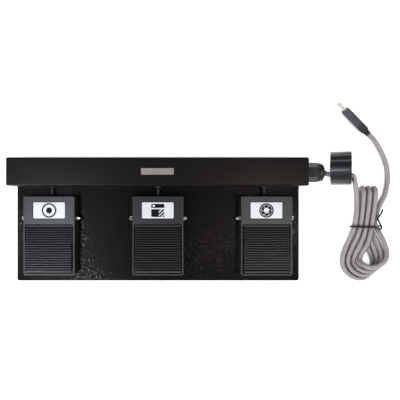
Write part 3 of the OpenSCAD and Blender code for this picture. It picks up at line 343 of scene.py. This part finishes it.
cord_pvc, shader = new_finish("cord_grey_pvc", (0.42, 0.386, 0.383), 0.42)
effect = add_grain(cord_pvc, shader, 900, 45, 0.94, 1.05, 0.12, 0.0003, 0.05)
nodes, links = cord_pvc.node_tree.nodes, cord_pvc.node_tree.links
# Ambient occlusion darkens the cord's colour in the creases between strands: painted shade.
crease, painted_crease_shade = nodes.new("ShaderNodeAmbientOcclusion"), nodes.new("ShaderNodeMath")
crease.inputs["Distance"].default_value = 0.005
crease.samples = 8
painted_crease_shade.operation = "MULTIPLY"
links.new(crease.outputs["AO"], painted_crease_shade.inputs[0])
links.new(effect.outputs["Tone"], painted_crease_shade.inputs[1])
links.new(painted_crease_shade.outputs[0], shader.inputs["Base Color"].links[0].from_node.inputs["B"])
usb_cord.data.materials.append(cord_pvc)
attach(usb_cord, "frame")
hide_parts("usb_cord_lead", "usb_cord_hank", "usb_cord_tail")

inner_cord = round_line("usb_cord_inner", [(smooth_route([
    (115, 70.55, 16.1), (121.94, 70.55, 16.1), (133.3, 69.8, 16.89), (145.29, 66.8, 20.05), (157.28, 63.95, 23.05),
    (171.16, gland_y, gland_z), (gland_inner_x, gland_y, gland_z)], 6), 1)], cord_radius, 5)
inner_cord.data.materials.append(cord_pvc)
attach(inner_cord, "frame")
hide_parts("usb_cord_inside")


# Twist tie: a thin wire in a black plastic jacket that holds the hank together.
# It is wound once round the hank's waist and twisted, and its free end is left standing off.
tie_radius = 1.15
tie_route = [
    (296.8, -7.6, 8.8), (296.6, -8, 3.6), (294.4, -8, tie_radius), (266.5, -8, tie_radius), (264.4, -8, 2.6),
    (258.4, -8, 7.6), (255.4, -8, 11.4), (255.7, -8, 15.6), (259, -8, 18), (283.5, -8.6, 18), (288, -9.2, 16.2),
    (294, -11.4, 15), (296.4, -8.4, 13), (293.6, -0.5, 11), (293.2, 3, 10), (297.7, 9, 9), (300.8, 14.5, 8),
]
tie = round_line("twist_tie", [(smooth_route(tie_route, 8, tie_radius), 1)], tie_radius, 3)
tie_black, shader = new_finish("tie_black_plastic", (0.009, 0.009, 0.01), 0.36)
add_grain(tie_black, shader, 2500, 90, 0.85, 1.2, 0.2, 0.0002)
tie.data.materials.append(tie_black)
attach(tie, "frame")
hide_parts("hank_tie")


# Ferrite core: a pressed ceramic ring in a glossy black coat that keeps noise off the cord.
# It is slipped over the cord beside the gland and lies on one rim.
ferrite_coat, shader = new_finish("ferrite_gloss_coat", (0.01, 0.0105, 0.0135), 0.3)
shader.inputs["Coat Weight"].default_value = 0.3
shader.inputs["Coat Roughness"].default_value = 0.06
add_grain(ferrite_coat, shader, 700, 60, 0.85, 1.15, 0.08, 0.0003, 0.04)
dress(["ferrite_core"], ferrite_coat)


# Cable gland: a hex body of moulded black nylon, screwed into the housing's end with a locknut behind the wall.
# Its domed nut presses a rubber seal on the cord. The feet, grommets and bushes are of the same rubber.
nylon, shader = new_finish("gland_black_nylon", (0.01, 0.01, 0.011), 0.4)
add_grain(nylon, shader, 1400, 70, 0.85, 1.2, 0.15, 0.0002, 0.05)
dress(["gland_body", "gland_dome_nut", "gland_locknut"], nylon)
black_rubber, shader = new_finish("black_rubber", (0.012, 0.012, 0.012), 0.62)
add_grain(black_rubber, shader, 2200, 80, 0.8, 1.2, 0.25, 0.0002)
dress(["gland_seal", "rubber_feet", "cable_grommets", "cable_bushes"], black_rubber)


# USB plug: moulded black body and ribbed boot on the cord's end, a nickel-plated steel shell in front.
# The ribbed panels on the body's two narrow sides are painted paler, a painted sheen for the light on the upward
# one;
# its other sides and the boot stay black.
boot_black, shader = new_finish("boot_black_pvc", (0.011, 0.0105, 0.011), 0.42)
add_grain(boot_black, shader, 1600, 80, 0.88, 1.15, 0.15, 0.0002, 0.04)
dress(["plug_boot"], boot_black)
# The plug's colour is the pale, bluish painted sheen; the masks below darken it to black away from the panels.
plug_black, shader = new_finish("plug_black_pvc", (0.068, 0.063, 0.084), 0.42)
effect = add_grain(plug_black, shader, 1600, 80, 0.88, 1.15, 0.15, 0.0002, 0.04)
nodes, links = plug_black.node_tree.nodes, plug_black.node_tree.links
plug_place, plug_lean, plug_turn = (0.281, 0.115, 0.00873), -20, 134.3
place, own_axes = nodes.new("ShaderNodeTexCoord"), nodes.new("ShaderNodeMapping")
own_axes.vector_type = "TEXTURE"
own_axes.inputs["Location"].default_value = plug_place
own_axes.inputs["Rotation"].default_value = (math.radians(plug_lean), 0, math.radians(plug_turn))
parts, off_middle = nodes.new("ShaderNodeSeparateXYZ"), nodes.new("ShaderNodeMath")
off_middle.operation = "ABSOLUTE"
links.new(place.outputs["Object"], own_axes.inputs["Vector"])
links.new(own_axes.outputs["Vector"], parts.inputs[0])
links.new(parts.outputs["Y"], off_middle.inputs[0])
tone = effect.outputs["Tone"]
# Painted sheen: full colour on the narrow-side panels towards the shell, darkened elsewhere.
for reach, start, end, before, after in ((off_middle.outputs[0], 0.0036, 0.0046, 1, 0.12),
                                         (parts.outputs["X"], 0.0165, 0.02, 0.2, 1)):
    panel, painted_sheen = nodes.new("ShaderNodeMapRange"), nodes.new("ShaderNodeMath")
    for socket, value in (("From Min", start), ("From Max", end), ("To Min", before), ("To Max", after)):
        panel.inputs[socket].default_value = value
    painted_sheen.operation = "MULTIPLY"
    links.new(reach, panel.inputs["Value"])
    links.new(panel.outputs["Result"], painted_sheen.inputs[0])
    links.new(tone, painted_sheen.inputs[1])
    tone = painted_sheen.outputs[0]
links.new(tone, shader.inputs["Base Color"].links[0].from_node.inputs["B"])
dress(["plug_body"], plug_black)
nickel, shader = new_finish("plug_nickel_steel", (0.66, 0.6, 0.53), 0.34, 1.0)
add_grain(nickel, shader, 1200, 150, 0.93, 1.04, 0.05, 0.0001, 0.06)
dress(["plug_shell"], nickel)
tongue_white, shader = new_finish("plug_tongue_white", (0.8, 0.8, 0.78), 0.5)
add_grain(tongue_white, shader, 1500, 150, 0.95, 1.03, 0.1, 0.0001)
dress(["plug_insulator"], tongue_white)
contact_brass, shader = new_finish("contact_brass", (0.8, 0.6, 0.27), 0.3, 1.0)
add_grain(contact_brass, shader, 1800, 200, 0.92, 1.05, 0.06, 0.0001, 0.05)
dress(["plug_contacts", "switch_terminals", "board_standoffs"], contact_brass)


# Base plate and housing: cut and folded sheet steel, powder coated black with a fine hammered texture.
# Facets of the texture catch the lamp here and there, and the coat is a little warm in tone.
# Zinc-plated screws hold the cover and the foot switches.
# The housing's copy of the coat has a higher specular level than the base's, a painted sheen for the stronger
# light on it.
for finish, piece, sheen in (("base_black_powder", "base_plate", 0.08),
                             ("housing_black_powder", "housing_cover", 0.25)):
    powder, shader = new_finish(finish, (0.0045, 0.004, 0.0037), 0.3)
    shader.inputs["Specular IOR Level"].default_value = sheen
    shader.inputs["Specular Tint"].default_value = (1, 0.89, 0.82, 1)
    shader.inputs["Coat Roughness"].default_value = 0.11
    effect = add_grain(powder, shader, 480, 18, 0.85, 1.2, 0.06, 0.0006)
    facets = powder.node_tree.nodes.new("ShaderNodeMapRange")
    facets.inputs["From Min"].default_value = 0.56
    facets.inputs["From Max"].default_value = 0.68
    facets.inputs["To Max"].default_value = 0.45
    powder.node_tree.links.new(effect.outputs["Height"], facets.inputs["Value"])
    powder.node_tree.links.new(facets.outputs["Result"], shader.inputs["Coat Weight"])
    dress([piece], powder)
zinc, shader = new_finish("zinc_plated_steel", (0.6, 0.6, 0.62), 0.35, 1.0)
add_grain(zinc, shader, 1500, 200, 0.9, 1.05, 0.08, 0.0001, 0.08)
dress(["cover_screws", "pedal_screws", "floor_screws", "switch_screws", "board_screws"], zinc)


# Nameplate: a thin metal plate, brushed along its length.
# It is stuck on the housing's top, halfway along.
plate_metal, shader = new_finish("nameplate_brushed_metal", (0.5, 0.45, 0.39), 0.36, 1.0)
add_grain(plate_metal, shader, 1500, 120, 0.9, 1.06, 0.1, 0.0001)
nodes, links = plate_metal.node_tree.nodes, plate_metal.node_tree.links
place, stretch = nodes.new("ShaderNodeTexCoord"), nodes.new("ShaderNodeMapping")
stretch.inputs["Scale"].default_value = (60, 5200, 60)
lines, shine = nodes.new("ShaderNodeTexNoise"), nodes.new("ShaderNodeMapRange")
lines.inputs["Scale"].default_value = 1
shine.inputs["From Min"].default_value = 0.3
shine.inputs["From Max"].default_value = 0.7
shine.inputs["To Min"].default_value = 0.26
shine.inputs["To Max"].default_value = 0.5
links.new(place.outputs["Object"], stretch.inputs["Vector"])
links.new(stretch.outputs["Vector"], lines.inputs["Vector"])
links.new(lines.outputs["Fac"], shine.inputs["Value"])
links.new(shine.outputs["Result"], shader.inputs["Roughness"])
dress(["nameplate"], plate_metal)


# Foot switches: shells, floors and treadles moulded in dark grey plastic with a fine spark-eroded grain.
# A steel pin carries each treadle between the shell's walls, and a coil spring on the floor pushes it up.
# Pressed down, it works the red plunger of a microswitch. A white film label is stuck on the shell's deck.
pedal_x = {"left": -141, "middle": 0, "right": 141}
sides = tuple(pedal_x)
for finish, parts, gloss in (("shell_grey_plastic", ("shell", "floor"), 1.53),
                             ("treadle_grey_plastic", ("treadle",), 1.64)):
    pedal_plastic, shader = new_finish(finish, (0.0092, 0.0092, 0.0108), 0.5)
    shader.inputs["Specular IOR Level"].default_value = 0.04
    shader.inputs["Coat Roughness"].default_value = 0.33
    shader.inputs["Coat IOR"].default_value = gloss
    add_grain(pedal_plastic, shader, 1300, 30, 0.92, 1.1, 0.22, 0.00025, 0.05)
    nodes, links = pedal_plastic.node_tree.nodes, pedal_plastic.node_tree.links
    # Painted shade: ambient occlusion takes the coat's gloss off the treadle grooves and tight corners.
    cavity, wear_and_shade_range = nodes.new("ShaderNodeAmbientOcclusion"), nodes.new("ShaderNodeMapRange")
    cavity.inputs["Distance"].default_value = 0.0025
    cavity.samples = 8
    wear_and_shade_range.inputs["From Min"].default_value = 0.5
    wear_and_shade_range.inputs["From Max"].default_value = 0.95
    links.new(cavity.outputs["AO"], wear_and_shade_range.inputs["Value"])
    links.new(wear_and_shade_range.outputs["Result"], shader.inputs["Coat Weight"])
    dress([f"{side}_{part}" for side in sides for part in parts], pedal_plastic)
polished, shader = new_finish("pivot_polished_steel", (0.75, 0.74, 0.72), 0.18, 1.0)
add_grain(polished, shader, 1500, 200, 0.92, 1.04, 0.04, 0.0001, 0.05)
dress([f"{side}_pivot_pin" for side in sides] + ["pivot_caps"], polished)
spring_wire, shader = new_finish("spring_bright_wire", (0.66, 0.67, 0.69), 0.26, 1.0)
add_grain(spring_wire, shader, 2000, 200, 0.92, 1.04, 0.05, 0.0001, 0.05)
spring_foot, spring_top, spring_y, spring_radius, turns = 7.05, 28.2, -45.45, 5.4, 7
wire_radius, ring_points = 0.6, 24


def closing_pitch(share):
    """The share of the spring's height at a share of its wire, with the turns closer towards both ends."""
    margin = 0.35

    def ease(place):
        v = (place + margin) / (1 + 2 * margin)
        return v * v * (3 - 2 * v)

    return (ease(share) - ease(0)) / (ease(1) - ease(0))


for side, x in pedal_x.items():
    low, high = spring_foot + wire_radius, spring_top - wire_radius
    helix = []
    for i in range(turns * ring_points + 1):
        turn = 2 * math.pi * i / ring_points
        rise = low + (high - low) * closing_pitch(i / (turns * ring_points))
        helix.append((x + spring_radius * math.cos(turn), spring_y + spring_radius * math.sin(turn), rise))
    coil = round_line(f"{side}_return_spring", [(helix, 1)], wire_radius, 3)
    coil.data.materials.append(spring_wire)
    bpy.ops.object.select_all(action="DESELECT")
    coil.select_set(True)
    bpy.context.view_layer.objects.active = coil
    bpy.ops.object.convert(target="MESH")
    coil = bpy.context.object
    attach(coil, "frame")
    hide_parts(f"{side}_spring")
    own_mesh(coil)
switch_black, shader = new_finish("microswitch_black", (0.02, 0.02, 0.022), 0.42)
add_grain(switch_black, shader, 1700, 90, 0.88, 1.15, 0.15, 0.0002)
dress([f"{side}_switch" for side in sides] + ["controller_chip"], switch_black)
plunger_red, shader = new_finish("plunger_red", (0.5, 0.03, 0.02), 0.3)
add_grain(plunger_red, shader, 1700, 120, 0.9, 1.1, 0.08, 0.0001)
dress([f"{side}_plunger" for side in sides], plunger_red)
label_white, shader = new_finish("label_white_film", (0.86, 0.88, 0.92), 0.28)
add_grain(label_white, shader, 900, 60, 0.97, 1.02, 0.04, 0.0001, 0.03)
dress([f"{side}_label" for side in sides], label_white)


# Printed signs on the labels: thin black films, a ring with a dot, a window with hatching and an iris in a ring.
# Each is cut from flat discs and sheets and joined into one film on its label's face.
sign_y, sign_z, film = 13.65, 27.6, 0.05
sign_ink, shader = new_finish("sign_black_ink", (0.006, 0.006, 0.007), 0.4)
shader.inputs["Specular IOR Level"].default_value = 0.12
add_grain(sign_ink, shader, 1500, 150, 0.9, 1.12, 0.06, 0.0001)


def film_disc(x, y, radius, corners=72):
    bpy.ops.object.select_all(action="DESELECT")
    bpy.ops.mesh.primitive_cylinder_add(vertices=corners, radius=radius / 1000, depth=film / 1000,
                                        location=(x / 1000, y / 1000, (sign_z + film / 2) / 1000))
    bpy.ops.object.transform_apply(location=True, rotation=True, scale=True)
    return bpy.context.object


def film_sheet(x, y, width, length):
    bpy.ops.object.select_all(action="DESELECT")
    bpy.ops.mesh.primitive_cube_add(size=1, location=(x / 1000, y / 1000, (sign_z + film / 2) / 1000))
    sheet = bpy.context.object
    sheet.scale = (width / 1000, length / 1000, film / 1000)
    bpy.ops.object.transform_apply(location=True, rotation=True, scale=True)
    return sheet


def film_ring(x, y, radius, width):
    ring = film_disc(x, y, radius)
    bpy.context.tool_settings.mesh_select_mode = (False, False, True)
    for face in ring.data.polygons:
        face.select = abs(face.normal.z) > 0.9
    bpy.ops.object.mode_set(mode="EDIT")
    bpy.ops.mesh.inset(thickness=width / 1000, use_individual=True)
    bpy.ops.mesh.bridge_edge_loops()
    bpy.ops.object.mode_set(mode="OBJECT")
    return ring


def round_corners(sheet, corners, radius):
    """Rounds the upright edges that stand at the given corners, in millimetres."""
    bpy.context.tool_settings.mesh_select_mode = (False, True, False)
    sheet.data.polygons.foreach_set("select", [False] * len(sheet.data.polygons))
    sheet.data.vertices.foreach_set("select", [False] * len(sheet.data.vertices))
    for edge in sheet.data.edges:
        ends = [sheet.data.vertices[i].co for i in edge.vertices]
        upright = abs(ends[0].z - ends[1].z) > 0.4 * film / 1000
        edge.select = upright and any(
            math.hypot(ends[0].x * 1000 - x, ends[0].y * 1000 - y) < 0.01 for x, y in corners)
    bpy.ops.object.mode_set(mode="EDIT")
    bpy.ops.mesh.bevel(offset=radius / 1000, segments=8, affect="EDGES")
    bpy.ops.object.mode_set(mode="OBJECT")


def trim(piece, point, normal):
    """Cuts away what lies on the normal's side of a plane through a point in millimetres."""
    bpy.ops.object.select_all(action="DESELECT")
    piece.select_set(True)
    bpy.context.view_layer.objects.active = piece
    bpy.ops.object.mode_set(mode="EDIT")
    bpy.ops.mesh.select_all(action="SELECT")
    bpy.ops.mesh.bisect(plane_co=(point[0] / 1000, point[1] / 1000, sign_z / 1000), plane_no=(*normal, 0),
                        use_fill=True, clear_outer=True)
    bpy.ops.object.mode_set(mode="OBJECT")


def one_sign(name, pieces):
    bpy.ops.object.select_all(action="DESELECT")
    for piece in pieces:
        piece.select_set(True)
    bpy.context.view_layer.objects.active = pieces[0]
    bpy.ops.object.join()
    bpy.ops.object.origin_set(type="ORIGIN_CURSOR")
    sign = bpy.context.object
    sign.name = name
    sign.data.name = name
    sign.data.materials.append(sign_ink)
    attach(sign, "frame")


ring_radius, ring_width, dot_radius = 9.5, 1.9, 3.9
one_sign("left_sign", [film_ring(pedal_x["left"], sign_y, ring_radius, ring_width),
                       film_disc(pedal_x["left"], sign_y, dot_radius, 48)])

window, bar_length, pane_side, corner = 17, 5.2, 10, 1.8
bar_y = sign_y + (window - bar_length) / 2
bar = film_sheet(0, bar_y, window, bar_length)
round_corners(bar, [(-window / 2, sign_y + window / 2), (window / 2, sign_y + window / 2)], corner)
hole_x, hole_radius, hole_stretch = -5.2, 1.6, 3
hole = film_disc(hole_x, bar_y, hole_radius, 40)
hole.scale = (1, 1, hole_stretch)
hole.location.z = (1 - hole_stretch) * (sign_z + film / 2) / 1000
bpy.context.view_layer.objects.active = bar
cut = bar.modifiers.new("hole", "BOOLEAN")
cut.operation = "DIFFERENCE"
cut.object = hole
bpy.ops.object.modifier_apply(modifier="hole")
bpy.data.objects.remove(hole)
pane_x = -(window - pane_side) / 2
pane_y = sign_y + pane_x
pane = film_sheet(pane_x, pane_y, pane_side, pane_side)
round_corners(pane, [(-window / 2, sign_y - window / 2)], corner)
hatch_x, hatch_width, hatch_pitch, stripe_half, stripe_count = 5.15, 6.7, 3.2, 1, 4
slope = math.radians(45)
across = (math.sin(slope), -math.cos(slope))
stripes = []
for k in range(stripe_count):
    stripe = film_sheet(hatch_x, pane_y, hatch_width, pane_side)
    middle = (k - (stripe_count - 1) / 2) * hatch_pitch
    for way in (1, -1):
        edge = middle + way * stripe_half
        trim(stripe, (hatch_x + across[0] * edge, pane_y + across[1] * edge), (way * across[0], way * across[1]))
    stripes.append(stripe)
one_sign("middle_sign", [bar, pane] + stripes)

iris_x, iris_radius, iris_ring, iris_ring_width = pedal_x["right"], 7.1, 9.4, 1.8
reach, seam, blade_count = 2.9, 0.25, 6
ring = film_ring(iris_x, sign_y, iris_ring, iris_ring_width)
blades = []
for k in range(blade_count):
    blade = film_disc(iris_x, sign_y, iris_radius)
    here, ahead = math.radians(360 / blade_count * k), math.radians(360 / blade_count * (k + 1))
    trim(blade, (iris_x + (reach + seam) * math.cos(here), sign_y + (reach + seam) * math.sin(here)),
         (-math.cos(here), -math.sin(here)))
    trim(blade, (iris_x + (reach - seam) * math.cos(ahead), sign_y + (reach - seam) * math.sin(ahead)),
         (math.cos(ahead), math.sin(ahead)))
    blades.append(blade)
one_sign("right_sign", [ring] + blades)


# Pedal cables: short black PVC cables, each from its foot switch through a bush and the housing's grommet.
# In the shell two thin wires run on to the microswitch; in the housing the cable ends at a terminal block.
cable_black, shader = new_finish("cable_black_pvc", (0.014, 0.014, 0.015), 0.24)
add_grain(cable_black, shader, 1100, 60, 0.85, 1.2, 0.12, 0.0002, 0.05)
cable_radius, wire_share, cable_z, wire_end_z = 2.5, 0.24, 10.5, 10.68
cable_runs = {
    "left": [(-140, 54.55, 10.3), (-136, 58.25, 9.8), (-128, 59.85, 9), (-110, 60.05, 8), (-80, 60.45, 7.6),
             (-40, 62.05, 7.6), (-16, 65.55, 8.4), (2, 68.05, 11.5), (12, 69.05, 15), (20, 69.05, 17),
             (24.5, 69.05, 17)],
    "middle": [(0.8, 54.05, 11), (4, 56.85, 12.6), (10, 58.05, 15), (17, 58.05, 17), (24.5, 58.05, 17)],
    "right": [(140, 54.05, 10.8), (136, 56.95, 12), (129, 57.55, 14.6), (122, 57.55, 17), (115.5, 57.55, 17)],
}
for side, run in cable_runs.items():
    x = pedal_x[side]
    jacket = [(x, y, cable_z) for y in (12.75, 25, 40, 50.55, 52.5)] + run
    wires = [
        [(start_x, 12.75, cable_z), (start_x, 9.75, cable_z), (end_x, -2.65, wire_end_z),
         (end_x, -8.65, wire_end_z), (end_x, -10.4, wire_end_z)]
        for start_x, end_x in ((x - 1, x - 8), (x + 1, x - 2.4))
    ]
    cable = round_line(f"{side}_pedal_cable", [(smooth_route(jacket, 5), 1)]
                       + [(smooth_route(wire, 4), wire_share) for wire in wires], cable_radius, 4)
    cable.data.materials.append(cable_black)
    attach(cable, "frame")
    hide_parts(f"{side}_cable")


# Encoder board: a glass-fibre board under green solder mask, screwed on brass standoffs in the housing.
# It carries green screw terminals for the pedal cables, a cream header for the USB cord and one black chip.
board_mask, shader = new_finish("board_solder_mask", (0.015, 0.14, 0.06), 0.35)
add_grain(board_mask, shader, 1100, 120, 0.8, 1.2, 0.1, 0.0001)
dress(["encoder_board"], board_mask)
terminal_green, shader = new_finish("terminal_green", (0.03, 0.24, 0.09), 0.45)
add_grain(terminal_green, shader, 1500, 100, 0.9, 1.1, 0.15, 0.0002)
dress(["terminal_blocks"], terminal_green)
header_cream, shader = new_finish("header_cream", (0.78, 0.75, 0.66), 0.5)
add_grain(header_cream, shader, 1500, 100, 0.94, 1.04, 0.12, 0.0002)
dress(["usb_header"], header_cream)
